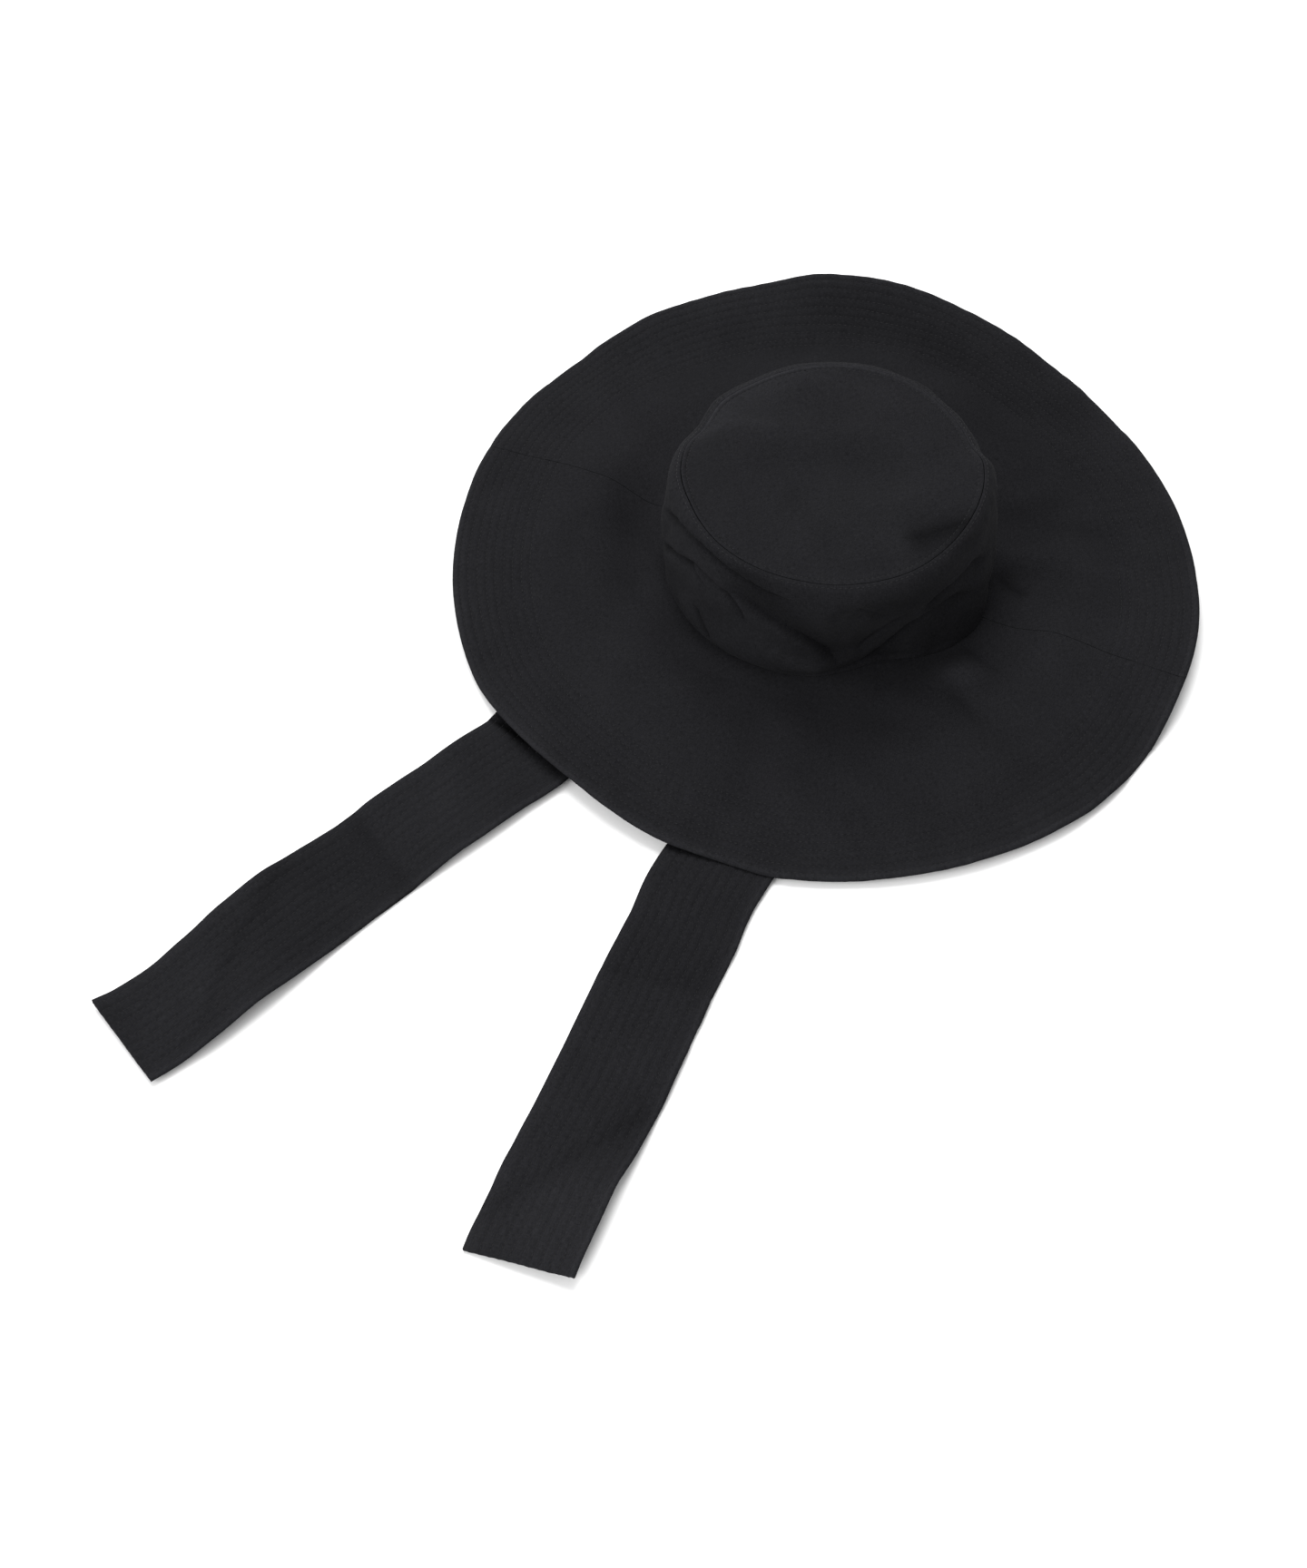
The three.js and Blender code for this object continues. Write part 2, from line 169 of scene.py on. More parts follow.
# Creases in the crown's side: the line as (angle, rise) points from left to right, with rise 0 at
# the head seam and 1 at the top's seam, then the depth, the half-widths above and below, and how
# much painted shade darkens the crease.
SIDE_CREASES = [
    ([(206, 0.60), (213, 0.69), (222, 0.79), (231, 0.86), (241, 0.885), (250, 0.885), (258, 0.865),
      (266, 0.84), (275, 0.82), (284, 0.79)], 5, 1.8, 3.2, 0.48),
    ([(203, 0.24), (211, 0.34), (219, 0.46), (227, 0.56), (234, 0.63), (240, 0.69), (246, 0.69),
      (252, 0.66), (257, 0.61), (260, 0.55), (262, 0.47), (266, 0.38)], 4.5, 1.2, 2.6, 0.5),
    ([(228, 0.57), (237, 0.615), (241, 0.60), (247, 0.565)], 2.2, 0.9, 2.0, 0.35),
    ([(250, 0.67), (257, 0.665), (264, 0.62), (270, 0.56), (277, 0.50), (283, 0.42), (288, 0.325),
      (292, 0.225), (297, 0.08)], 6, 22, 2, 0.32),
    ([(240, 0.32), (243.5, 0.22), (246, 0.14), (248, 0.05)], 2.2, 2.5, 1.0, 0.25),
    ([(208, 0.04), (226, 0.045), (238, 0.04), (250, 0.05), (260, 0.03)], 1.6, 2, 1.2, 0.25),
    ([(272, 0.02), (290, 0.015), (300, 0.03), (308, 0.05), (318, 0.03), (332, 0.05)], 1.8, 3, 2, 0.3),
    ([(300, 0.01), (306, 0.045), (311, 0.10), (316, 0.18), (320, 0.285), (324, 0.38), (330, 0.45),
      (338, 0.47), (345, 0.44), (352, 0.38), (360, 0.29)], 5.5, 3.2, 6, 0.08),
    ([(302, 0.20), (306, 0.29), (311, 0.40), (315, 0.50), (319, 0.58), (323, 0.65)], 2, 3, 3, 0.15),
    ([(326, 0.51), (332, 0.59), (338, 0.64), (344, 0.67), (350, 0.68), (355, 0.63), (360, 0.54)],
     4.5, 3, 6, 0.2),
    ([(300, 0.82), (305, 0.77), (309, 0.70), (315, 0.63)], 1.2, 2, 3, 0.1),
]
# Soft swells and hollows of the side: angle, rise, half-lengths along and across, turn and lift.
SIDE_FORMS = [
    (256, 0.14, 38, 13, -4, 5),
    (289, 0.86, 9, 6, 0, -1.5),
    (340, 0.36, 26, 22, 0, -4),
    (291, 0.68, 8, 24, 0, 1.5),
]

# Creases of the top and the brim: the line as (x, y) points, the depth, which is negative for a
# ridge, the half-widths to its left and right, and how much painted shade darkens it, or where
# that is negative how much painted highlight lightens it.
TOP_CREASES = [
    ([(-86, -18), (-80, -10), (-72, -1), (-66, 5), (-50, 9), (-30, 11)], -1.6, 7, 4, -0.2),
    ([(54, -43), (64, -35), (75, -25), (86, -17), (98, -12), (112, -8)], 0.4, 8, 15, 0.57),
]
BRIM_CREASES = [
    ([(88, -18), (97, -24), (108, -30), (122, -34)], 3, 7, 5, 0.1),
    ([(86, 34), (94, 31), (103, 27), (116, 24)], 1.5, 4, 7, 0.3),
]
# Creases of the ties: points are the distance along the tie and the distance to the right of its
# middle line, the half-widths come right first, and the last value of each is how much painted
# shade darkens it. The first of each is a painted shadow where the brim's edge lies over the tie,
# and has no depth.
TIE_LEFT_CREASES = [
    ([(221, 60), (221.5, 20), (222.4, -14), (224, -60)], 0, 3.6, 4.2, 0.88),
    ([(322, 44), (327, 12), (331, -12), (333, -44)], 1.2, 16, 3, 0.16),
    ([(350, 38), (374, 28), (398, 16), (421, 7), (447, -6), (471, -19), (495, -31)], 1.2, 4, 14, 0.12),
]
TIE_RIGHT_CREASES = [
    ([(250, 60), (237, 20), (230, -14), (222, -60)], 0, 3.2, 3.6, 0.84),
    ([(327, 44), (323, 18), (320, -2), (316, -18), (314, -44)], 1.2, 2, 22, 0.1),
    ([(380, -38), (403, -22), (423, -10), (447, 4), (468, 19), (492, 34)], 1.5, 6, 7, 0.18),
]

# Patches of painted light and shade, where the black is painted paler or deeper: middle,
# half-lengths along and across, turn, and the share added to the tone. A middle is given the way
# that the creases of its piece are: (x, y), on a tie the distances along and across, and on the
# side angle and rise.
BRIM_PAINTED_PATCHES = [
    (102, -42, 15, 10, 40, 0.68),
    (80, -84, 30, 12, 20, 0.16),
    (45, -112, 26, 18, 10, 0.14),
    (-8, -114, 44, 26, 0, 0.18),
    (70, -155, 26, 12, 35, 0.08),
    (120, 52, 36, 7, 14, 0.14),
    (110, 78, 24, 8, 10, -0.1),
    (85, 96, 20, 9, 45, 0.14),
    (135, 30, 30, 10, 0, -0.08),
    (45, 142, 26, 9, -25, -0.14),
    (42, 168, 30, 14, -25, -0.12),
    (-15, 186, 60, 16, 0, -0.2),
    (82, 167, 28, 10, -40, -0.14),
    (-200, -5, 34, 8, 85, -0.1),
    (-141, -30, 24, 8, 95, -0.1),
    (-127, -82, 20, 12, 0, -0.08),
    (92, -110, 30, 12, 20, 0.1),
    (72, 112, 20, 10, 45, 0.1),
    (160, -95, 46, 14, 55, -0.12),
    (186, -25, 12, 34, 0, -0.12),
    (95, 26, 14, 8, 30, -0.12),
    (-75, 155, 34, 10, 35, -0.14),
    (-118, 108, 16, 10, 50, -0.1),
    (-140, 165, 60, 22, 42, 0.1),
    (120, 158, 40, 14, -50, 0.08),
    (-100, -25, 34, 12, 100, -0.2),
    (-120, 20, 24, 9, 80, 0.12),
    (-118, -52, 22, 9, 110, 0.08),
    (10, -200, 40, 10, 0, -0.08),
]
TOP_PAINTED_PATCHES = [
    (0, 0, 40, 30, 0, -0.06),
    (44, -66, 26, 8, 32, -0.12),
    (-66, 34, 44, 14, 55, 0.36),
    (-10, 62, 60, 12, 0, 0.1),
]
TIE_LEFT_PAINTED_PATCHES = [
    (295, 0, 30, 44, 0, 0.12),
    (470, 0, 50, 44, 0, 0.14),
]
TIE_RIGHT_PAINTED_PATCHES = [
    (285, 0, 40, 44, 0, -0.06),
    (365, 0, 34, 44, 0, 0.06),
    (475, -10, 40, 50, 0, 0.28),
]
SIDE_PAINTED_PATCHES = [
    (346, 0.93, 26, 7, 0, -0.12),
    (253, 0.92, 40, 4, 0, -0.16),
    (340, 0.25, 26, 26, 0, -0.22),
    (318, 0.75, 26, 14, 0, -0.34),
    (272, 0.7, 28, 12, -54, -0.15),
    (214, 0.62, 20, 14, 20, -0.14),
    (281, 0.15, 20, 7, -35, 0.42),
    (291, 0.62, 9, 20, 0, 0.1),
    (232, 0.3, 30, 16, 0, -0.06),
]
# A painted highlight along a hem: how bright, at what distance from its edge and over what width.
# Its very edge has painted shade that takes back a share of that, and its rows of stitches get
# painted shade.
EDGE_HIGHLIGHT, EDGE_HIGHLIGHT_AT, EDGE_HIGHLIGHT_WIDTH = 0.28, 2, 2.6
EDGE_SHADE, EDGE_SHADE_WIDTH = 0.8, 0.5
ROW_SHADE = -0.1
# A painted highlight along the crown's edge: how bright at most, over what width, and at what angle
# the brightest.
RIM_HIGHLIGHT, RIM_HIGHLIGHT_WIDTH, RIM_HIGHLIGHT_AT = 0.7, 1.1, 115

# Each tie's route from its sewn end to its hem, how high its left and right edges lie, seen
# along the route, and its share of the full width.
TIE_LEFT = table("x y left right share", [
    [-97, 36, 3.2, 3.2, 0.45],
    [-100, 10, 2, 2, 0.65],
    [-102, -25, 0.5, 0.5, 0.9],
    [-101, -65, 0, 0, 1],
    [-98, -105, 0, 0, 1],
    [-95, -145, 0.5, 0, 1],
    [-101, -186, 2, 1, 1],
    [-113, -212, 3, 2, 1],
    [-124, -236, 4, 1, 1],
    [-136, -261, 3, 1, 1],
    [-147, -287, 0, 0, 1],
    [-158, -313, 0, 4, 1],
    [-168, -338, 1, 9, 1],
    [-178, -364, 4, 8, 1],
    [-188, -389, 7, 3, 1],
    [-198, -415, 6, 0, 1],
    [-208, -435, 2, 1, 1],
    [-215, -447, 2, 3, 1],
])
TIE_RIGHT = table("x y left right share", [
    [97, 4, 0.7, 0.7, 0.45],
    [99, -28, 0.5, 0.5, 0.65],
    [94, -66, 0, 0, 0.9],
    [79, -103, 0, 0, 1],
    [57, -138, 0, 0, 1],
    [37, -172, 0, 0, 1],
    [26, -208, 1, 2, 1],
    [24, -240, 0, 4, 1],
    [26, -269, 0, 5, 1],
    [26, -295, 0, 5, 1],
    [27, -320, 0, 5, 1],
    [28, -346, 1, 5, 1],
    [29, -371, 1, 5, 1],
    [29, -396, 3, 3, 1],
    [28, -422, 6, 0, 1],
    [29, -447, 7, 0, 1],
    [30, -470, 7, 0, 1],
    [31, -482, 7, 0, 1],
])


# Curves

HALF_DEGREES = np.arange(0, 361, 0.5)  # round the hat
WAVE_COUNT = 20  # waves that make up an unevenness
WAVE_SPREAD = (0.7, 1.5)  # the shortest and the longest wave, as shares of the wavelength


def smoothstep(value, low, high):
    """Goes smoothly from 0 at low to 1 at high."""
    t = np.clip((value - low) / (high - low), 0, 1)
    return t * t * (3 - 2 * t)


def through(places, values, at):
    """The heights of a smooth curve at some places. It goes through the given points, whose
    coordinates may be arrays, and is level at each high and low."""
    at = np.asarray(at, float)
    places = np.stack([np.broadcast_to(place, at.shape) for place in places])
    values = np.stack([np.broadcast_to(value, at.shape) for value in values])
    rises = np.diff(values, axis=0) / np.diff(places, axis=0)
    same_way = rises[:-1] * rises[1:] > 0
    sums = np.where(same_way, rises[:-1] + rises[1:], 1)
    inner = np.where(same_way, 2 * rises[:-1] * rises[1:] / sums, 0)
    slopes = np.concatenate([rises[:1], inner, rises[-1:]])
    index = np.clip((places <= at).sum(axis=0) - 1, 0, len(places) - 2)[None]

    def pick(rows, step):
        return np.take_along_axis(rows, index + step, axis=0)[0]

    length = pick(places, 1) - pick(places, 0)
    t = (at - pick(places, 0)) / length
    return (
        (2 * t**3 - 3 * t**2 + 1) * pick(values, 0)
        + (t**3 - 2 * t**2 + t) * length * pick(slopes, 0)
        + (3 * t**2 - 2 * t**3) * pick(values, 1)
        + (t**3 - t**2) * length * pick(slopes, 1)
    )


def around(rows, column, angle):
    """One column of a table round the hat at some angles."""
    places = np.concatenate([rows["angle"] + turn for turn in (-360, 0, 360)])
    values = np.tile(rows[column], 3)
    return np.interp(np.mod(angle, 360), HALF_DEGREES, through(places, values, HALF_DEGREES))


def oval(half_axes, angle):
    """The radius of an oval at some angles."""
    c, s = np.cos(np.radians(angle)), np.sin(np.radians(angle))
    return half_axes[0] * half_axes[1] / np.hypot(half_axes[0] * c, half_axes[1] * s)


def polar(angle, radius, height):
    """Points (x, y, z) at some angles, radii and heights."""
    turn = np.radians(angle)
    return np.stack([radius * np.cos(turn), radius * np.sin(turn), height + 0 * turn], axis=-1)


def forms_at(forms, x, y):
    """What some soft swells and hollows, or patches, add at a point."""
    total = 0 * x
    for middle_x, middle_y, along, across, turn, lift in forms:
        c, s = math.cos(math.radians(turn)), math.sin(math.radians(turn))
        dx, dy = x - middle_x, y - middle_y
        total += lift * np.exp(-(((dx * c + dy * s) / along) ** 2) - ((dy * c - dx * s) / across) ** 2)
    return total


def ridge(distance, middle, width):
    """A rounded ridge, 1 high on its middle line."""
    return np.exp(-(((distance - middle) / width) ** 2))


def waves(unevenness, x, y, longer=1):
    """A gentle unevenness from its seed, height and rough wavelength. Longer is how many times
    its waves are drawn out along y."""
    seed, height, length = unevenness
    dice = np.random.default_rng(seed)
    total = 0 * x
    for _ in range(WAVE_COUNT):
        heading = dice.uniform(0, math.tau)
        frequency = math.tau / (length * dice.uniform(*WAVE_SPREAD))
        phase = dice.uniform(0, math.tau)
        total += np.sin(frequency * (x * math.cos(heading) + y / longer * math.sin(heading)) + phase)
    return height * (total / math.sqrt(WAVE_COUNT))


# Brim


def head_seam(angle):
    """The radius of the head seam."""
    return oval(HEAD, angle) + around(BRIM, "push", angle)


def free_brim(angle, radius):
    """0 on the level shelf beside the head seam, and 1 where the brim swells freely."""
    seam = head_seam(angle)
    return smoothstep(radius, seam + SEAM_SHELF, seam + DIP_REACH / 2)


def brim_at(angle, radius):
    """Points of the brim's middle surface."""
    seam = head_seam(angle)
    foot, dip, crest, band, edge, reach = (
        around(BRIM, name, angle) for name in ("foot", "dip", "crest", "band", "edge", "reach")
    )
    band_reach = reach - np.sqrt(BAND**2 - (edge - band) ** 2)
    height = through(
        [seam - SEAM_MARGIN, seam + SEAM_SHELF, seam + DIP_REACH, CREST_REACH, band_reach, reach],
        [foot, foot, dip, crest, band, edge],
        radius,
    )
    point = polar(angle, radius, height)
    point[..., 2] += free_brim(angle, radius) * forms_at(BRIM_FORMS, point[..., 0], point[..., 1])
    point[..., 2] = np.maximum(point[..., 2], CLOTH / 2)
    return point


def row_dents(place, rows):
    """How far a distance across rows of stitches is inside their dents, from 0 to 1."""
    return sum(ridge(place, row, ROW_WIDTH) for row in rows)


def rows_relief(place, rows):
    """The dents of rows of stitches and the swell between them, at a distance across the rows."""
    first, last = rows.min(), rows.max()
    inside = smoothstep(place, first - PUFF_FADE, first)
    inside *= smoothstep(-place, -last - PUFF_FADE, -last)
    nearest = np.min([abs(place - row) for row in rows], axis=0) / abs(rows[1] - rows[0])
    swell = np.sin(math.pi * np.clip(nearest, 0, 0.5)) ** 2
    return inside * PUFF * swell - ROW_DEPTH * row_dents(place, rows)


def hem_painted_shading(from_edge, place, rows):
    """Painted light and shade of a hem: a painted highlight along its edge, and painted shade on its
    very edge and in its rows of stitches.
    """
    edge_highlight = ridge(from_edge, EDGE_HIGHLIGHT_AT, EDGE_HIGHLIGHT_WIDTH)
    edge_highlight -= EDGE_SHADE * ridge(from_edge, 0, EDGE_SHADE_WIDTH)
    return EDGE_HIGHLIGHT * edge_highlight + ROW_SHADE * row_dents(place, rows)


def edge_roll(distance):
    """The height of a hem's rounded roll at a distance from its edge."""
    roll, roll_at, roll_width = HEM_ROLL
    fall, fall_at, fall_width = HEM_EDGE_FALL
    return roll * ridge(distance, roll_at, roll_width) - fall * ridge(distance, fall_at, fall_width)


def brim_surface(angle, radius):
    """The brim's middle surface with its stitching and unevenness."""
    point = brim_at(angle, radius)
    x, y = point[..., 0], point[..., 1]
    from_edge = around(BRIM, "reach", angle) - radius
    relief = rows_relief(from_edge, BRIM_ROWS)
    relief += creases_at(BRIM_CREASES, x, y)[0]
    broad, puckers = BRIM_UNEVEN
    relief += waves(broad, x, y) + edge_roll(from_edge)
    in_band = smoothstep(-from_edge, -PUCKERS_BEGIN, -PUCKERS_FULL)
    relief += in_band * waves(puckers, np.radians(angle) * PUCKER_REACH, from_edge, LONG_PUCKERS)
    point[..., 2] += free_brim(angle, radius) * relief
    point[..., 2] = np.maximum(point[..., 2], CLOTH / 2)
    return point


# Crown


def rim_at(angle, out):
    """Points on the seam of the crown's top, a little in or out of its line."""
    radius = oval(TOP, angle) + around(RIM, "push", angle) + out
    middle = np.array([*TOP_MIDDLE, 0])
    return polar(angle, radius, around(RIM, "height", angle)) + middle


SEAM_FADE = 0.1  # rise over which the creases die out at the top's seam, and half that at the foot
CREASE_POWER = 1.35  # 1 is as sharp as a paper fold, 2 is a soft furrow
CREASE_ENDS = 0.2  # share of its length over which a crease dies out at either end
CREASE_STEPS = 120  # places along a crease that a point is measured to
CREASE_REACH = 3  # half-widths past which a crease is too faint to count


def crease_at(line, above, below, x, y):
    """How far a point is inside a crease along a smooth line, from 0 to 1: above and below are
    its half-widths on its left and right. It dies out at both ends."""
    line = np.array(line, float)
    lengths = np.concatenate([[0], np.cumsum(np.hypot(*np.diff(line, axis=0).T))])
    at = np.linspace(0, lengths[-1], CREASE_STEPS)
    line_x, line_y = through(lengths, line[:, 0], at), through(lengths, line[:, 1], at)
    ahead_x, ahead_y = np.gradient(line_x), np.gradient(line_y)
    reach = CREASE_REACH * max(above, below)
    near = (x > line_x.min() - reach) & (x < line_x.max() + reach)
    near &= (y > line_y.min() - reach) & (y < line_y.max() + reach)
    off_x = x[near][:, None] - line_x
    off_y = y[near][:, None] - line_y
    closest = np.argmin(off_x**2 + off_y**2, axis=1)
    pick = np.arange(len(closest))
    off_x, off_y = off_x[pick, closest], off_y[pick, closest]
    on_left = ahead_x[closest] * off_y - ahead_y[closest] * off_x > 0
    distance = np.hypot(off_x, off_y) / np.where(on_left, above, below)
    t = closest / (CREASE_STEPS - 1)
    ends = smoothstep(t, 0, CREASE_ENDS) * smoothstep(1 - t, 0, CREASE_ENDS)
    inside = 0 * x
    inside[near] = ends * np.exp(-(distance**CREASE_POWER))
    return inside


def creases_at(creases, x, y):
    """The height and the painted shade that all the creases of a piece add."""
    height, painted_shading = 0 * x, 0 * x
    for line, depth, above, below, shade in creases:
        inside = crease_at(line, above, below, x, y)
        height -= depth * inside
        painted_shading -= shade * inside
    return height, painted_shading


def unrolled(angle, rise):
    """A place on the crown's side in mm of cloth along and up. It is slit at the back."""
    turned = np.mod(angle - AT_BACK, 360) + AT_BACK
    return turned * math.radians(HEAD[1]), rise * SIDE_HEIGHT


def side_creases():
    """The side's creases with their points in mm of cloth."""
    return [
        (np.stack(unrolled(*np.array(line, float).T), axis=-1), *sizes)
        for line, *sizes in SIDE_CREASES
    ]


def on_side(forms):
    """The side's forms or patches with their middles in mm of cloth."""
    return [(*unrolled(form[0], form[1]), *form[2:]) for form in forms]


def rim_painted_highlight(angle, from_seam):
    """A painted highlight along the crown's edge, brightest at its back."""
    at_back = (0.5 + 0.5 * np.cos(np.radians(angle - RIM_HIGHLIGHT_AT))) ** 2
    return RIM_HIGHLIGHT * at_back * ridge(from_seam, 0, RIM_HIGHLIGHT_WIDTH)


def side_painted_shading(angle, rise):
    """The painted light and shade of the side: painted shade in its creases, painted patches, and a
    painted highlight along its edge.
    """
    x, y = unrolled(angle, rise)
    painted_shading = creases_at(side_creases(), x, y)[1] + forms_at(on_side(SIDE_PAINTED_PATCHES), x, y)
    return painted_shading + rim_painted_highlight(angle, (1 - rise) * SIDE_HEIGHT)


def side_relief(angle, rise):
    """How far the creases and forms push the crown's side out."""
    x, y = unrolled(angle, rise)
    total = creases_at(side_creases(), x, y)[0] + forms_at(on_side(SIDE_FORMS), x, y)
    total += sum(waves(unevenness, x, y) for unevenness in SIDE_UNEVEN)
    total *= smoothstep(rise, 0, SEAM_FADE / 2) * smoothstep(1 - rise, 0, SEAM_FADE)
    return total + seam_relief((1 - rise) * SIDE_HEIGHT)


def seam_relief(distance):
    """The narrow roll beside the seam of the crown's top and the dent of its stitching."""
    roll, roll_at, roll_width = SEAM_ROLL
    dent, dent_at, dent_width = SEAM_DENT
    return roll * ridge(distance, roll_at, roll_width) - dent * ridge(distance, dent_at, dent_width)


def side_at(angle, rise):
    """Points of the crown side's middle surface."""
    foot = polar(angle, head_seam(angle), around(BRIM, "foot", angle) + CLOTH / 2 + GAP)
    rim = rim_at(angle, GAP / 2)
    outwards = polar(angle, 1, 0)
    folds = side_relief(angle, rise)[..., None]
    shoulder = rim + SHOULDER_OUT * outwards - [0, 0, SHOULDER_DROP]
    t = (np.minimum(rise, SHOULDER_RISE) / SHOULDER_RISE)[..., None]
    lean = 3 * t**2 - 2 * t**3 + (t**3 - t**2)
    wall = foot + (shoulder - foot) * lean
    wall[..., 2:] = foot[..., 2:] + (shoulder - foot)[..., 2:] * t
    wall += outwards * (SIDE_SWELL * np.sin(math.pi * t) ** 2)
    past = (np.maximum(rise, SHOULDER_RISE) - SHOULDER_RISE) / (1 - SHOULDER_RISE)
    turn = past[..., None] * math.pi / 2
    roll = rim + SHOULDER_OUT * np.cos(turn) * outwards + [0, 0, SHOULDER_DROP] * (np.sin(turn) - 1)
    return np.where((rise > SHOULDER_RISE)[..., None], roll, wall) + folds * outwards


RIM_WAVES = 9  # waves of the rim's height that the top follows
RIM_STEPS = 72  # places round the rim that the waves are taken from
TOP_EDGE_HOLD = 6  # a power: the higher, the nearer to its seam the top's forms reach


def rim_waves_at(angle, out):
    """The rim's heights as waves that fade towards the middle, the shorter ones faster."""
    steps = np.arange(RIM_STEPS) * 360 / RIM_STEPS
    heights = around(RIM, "height", steps)
    total = 0 * angle
    for k in range(RIM_WAVES):
        share = (2 if k else 1) / RIM_STEPS
        c = share * np.sum(heights * np.cos(k * np.radians(steps)))
        s = share * np.sum(heights * np.sin(k * np.radians(steps)))
        total += out**k * (c * np.cos(k * np.radians(angle)) + s * np.sin(k * np.radians(angle)))
    return total


def top_at(angle, out):
    """Points of the crown top's middle surface: out goes from 0 in its middle to 1 at its seam."""
    middle = np.array([*TOP_MIDDLE, 0])
    point = (rim_at(angle, -GAP) - middle) * out[..., None] + middle
    finer = around(RIM, "height", angle) - rim_waves_at(angle, 1 + 0 * out)
    point[..., 2] = rim_waves_at(angle, out) + out**RIM_WAVES * finer
    held = 1 - out**TOP_EDGE_HOLD
    point[..., 2] += held * forms_at(TOP_FORMS, point[..., 0], point[..., 1])
    return point


def top_surface(angle, out):
    """The top's middle surface with its creases, seam and unevenness."""
    point = top_at(angle, out)
    x, y = point[..., 0], point[..., 1]
    relief = sum(waves(unevenness, x, y) for unevenness in TOP_UNEVEN)
    relief += creases_at(TOP_CREASES, x, y)[0]
    held = 1 - out**TOP_EDGE_HOLD
    point[..., 2] += held * relief + seam_relief((1 - out) * TOP[1])
    return point


# Ties


def tie_length(route):
    """A tie's length from its sewn end to its hem."""
    return np.hypot(np.diff(route["x"]), np.diff(route["y"])).sum()


def tie_at(route, place, side):
    """Points of a tie's middle surface: side goes from -1 on its left to 1 on its right."""
    lengths = np.concatenate([[0], np.cumsum(np.hypot(np.diff(route["x"]), np.diff(route["y"])))])

    def column(name, at):
        return through(lengths, route[name], at)

    ahead_x = column("x", place + 1) - column("x", place - 1)
    ahead_y = column("y", place + 1) - column("y", place - 1)
    step = np.hypot(ahead_x, ahead_y)
    half = side * TIE_WIDTH * column("share", place) / 2
    left, right = column("left", place), column("right", place)
    return np.stack(
        [
            column("x", place) + ahead_y / step * half,
            column("y", place) - ahead_x / step * half,
            CLOTH / 2 + left + (right - left) * (side + 1) / 2,
        ],
        axis=-1,
    )


def tie_surface(route, creases, uneven, place, side):
    """A tie's middle surface with its stitching, creases and unevenness."""
    point = tie_at(route, place, side)
    across = side * TIE_WIDTH / 2
    relief = rows_relief(across, TIE_ROWS) + creases_at(creases, place, across)[0]
    relief += edge_roll(TIE_WIDTH / 2 - abs(across)) * TIE_ROLL_SHARE
    broad, puckers = uneven
    relief += waves(broad, place, across) + waves(puckers, across, place, LONG_PUCKERS)
    point[..., 2] = np.maximum(point[..., 2] + relief, CLOTH / 2)
    return point


# Meshes

# Faces of each grid, along its first way and its second
BRIM_GRID = (480, 88)
SIDE_GRID = (440, 102)
TOP_GRID = (150, 150)
TIE_GRID = (250, 56)
BAND_STARTS_AT, ROLL_STARTS_AT = 0.4, 0.95  # shares of the brim's rings of faces, from the seam
BAND_MARGIN = 2  # the band's rings of faces begin this far nearer the crown
ROLL_WIDTH = 2.4  # and the hem's roll takes up this much at the edge
SIDE_STARTS_AT = 95  # the angle at the back where the side's ring of faces closes
FINER_IN_FRONT = 30  # degrees that its columns of faces crowd towards the front
FINER_AT_SEAM = 0.4  # share by which the top's faces crowd towards its seam
MERGE_WITHIN = 1e-5  # metres between vertices that are one
EDGE_ROUND, ROUND_STEPS = 0.6, 2  # how far a cloth's edges are rounded, and in how many faces
SHARP = 50  # degrees past which an edge is rounded


def take(piece):
    """Makes a piece the only one that is selected."""
    bpy.ops.object.select_all(action="DESELECT")
    piece.select_set(True)
    bpy.context.view_layer.objects.active = piece


def new_grid(name, across, along):
    """A flat grid from 0 to 1 both ways, and its vertices' places as u and v."""
    bpy.ops.object.select_all(action="DESELECT")
    bpy.ops.mesh.primitive_grid_add(x_subdivisions=across, y_subdivisions=along, size=1)
    piece = bpy.context.object
    piece.name = name
    piece.data.name = name
    flat = np.empty(len(piece.data.vertices) * 3)
    piece.data.vertices.foreach_get("co", flat)
    flat = flat.reshape(-1, 3) + 0.5
    return piece, flat[:, 0], flat[:, 1]


def move_vertices(piece, points):
    """Puts a piece's vertices at some points in millimetres."""
    piece.data.vertices.foreach_set("co", (np.asarray(points) * MM).ravel())
    piece.data.update()


def lay_weave(piece, across, along):
    """The piece's UV map in metres of cloth, from the place of each vertex in the cut."""
    corners = np.empty(len(piece.data.loops), dtype=int)
    piece.data.loops.foreach_get("vertex_index", corners)
    places = np.stack([across[corners], along[corners]], axis=-1) * MM
    piece.data.uv_layers.active.data.foreach_set("uv", places.ravel())


def lay_painted_shading(piece, painted_shading):
    """Painted light and shade: how much paler, or where it is below 0 deeper, the black is painted at
    each vertex.
    """
    layer = piece.data.attributes.new("painted_shading", "FLOAT", "POINT")
    layer.data.foreach_set("value", np.asarray(painted_shading, dtype=np.float32))


def apply_modifiers(piece):
    take(piece)
    for name in [modifier.name for modifier in piece.modifiers]:
        bpy.ops.object.modifier_apply(modifier=name)


def close_ring(piece):
    """Joins the two ends of a grid that goes all the way round."""
    take(piece)
    bpy.ops.object.mode_set(mode="EDIT")
    bpy.ops.mesh.select_all(action="SELECT")
    bpy.ops.mesh.remove_doubles(threshold=MERGE_WITHIN)
    bpy.ops.mesh.normals_make_consistent(inside=False)
    bpy.ops.object.mode_set(mode="OBJECT")


